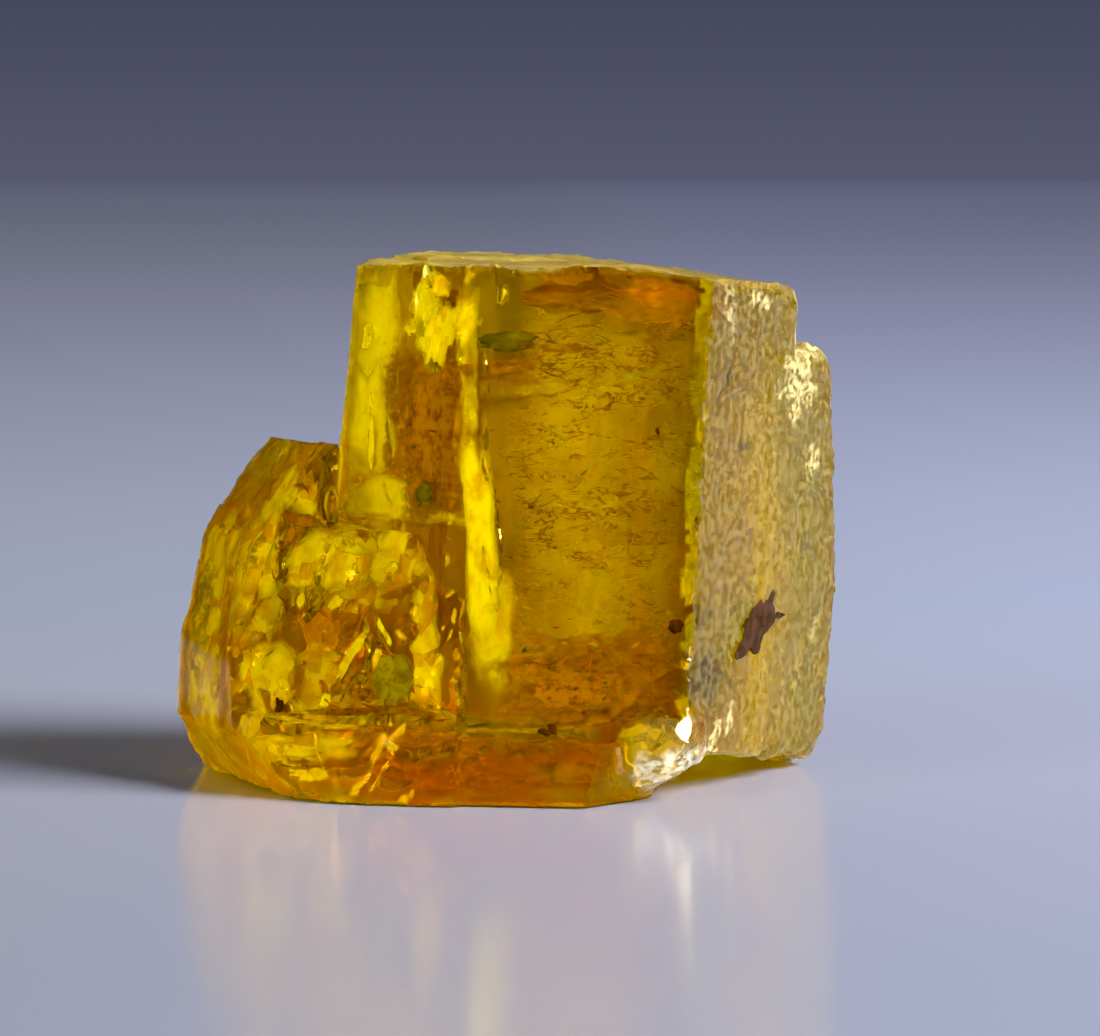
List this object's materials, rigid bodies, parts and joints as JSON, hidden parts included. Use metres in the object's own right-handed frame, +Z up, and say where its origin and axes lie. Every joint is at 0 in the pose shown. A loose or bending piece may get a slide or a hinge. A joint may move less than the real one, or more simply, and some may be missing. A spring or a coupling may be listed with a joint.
{
  "type": "rough heliodor crystal",
  "caption": "Rough, transparent golden-yellow beryl crystal: a short stepped hexagonal prism with a broken lower block and a flat broken base it stands on.",
  "frame": {"origin": "middle of the footprint box, on the level of the flat broken base", "axes": "+Z up, about along the crystal's long axis, which leans a little towards +X; -Y is the wide front face; +X is the frosted right face with the parallel column"},
  "size_m": [0.0194, 0.0136, 0.0151],
  "materials": {
    "heliodor": "natural crystal faces: glassy with fine growth marks on the front, left and top, frosted and etched on the right, broken and sparkly on the lower left block"
  },
  "bodies": {
    "root": {"heliodor_crystal": "heliodor"}
  },
  "joints": []
}
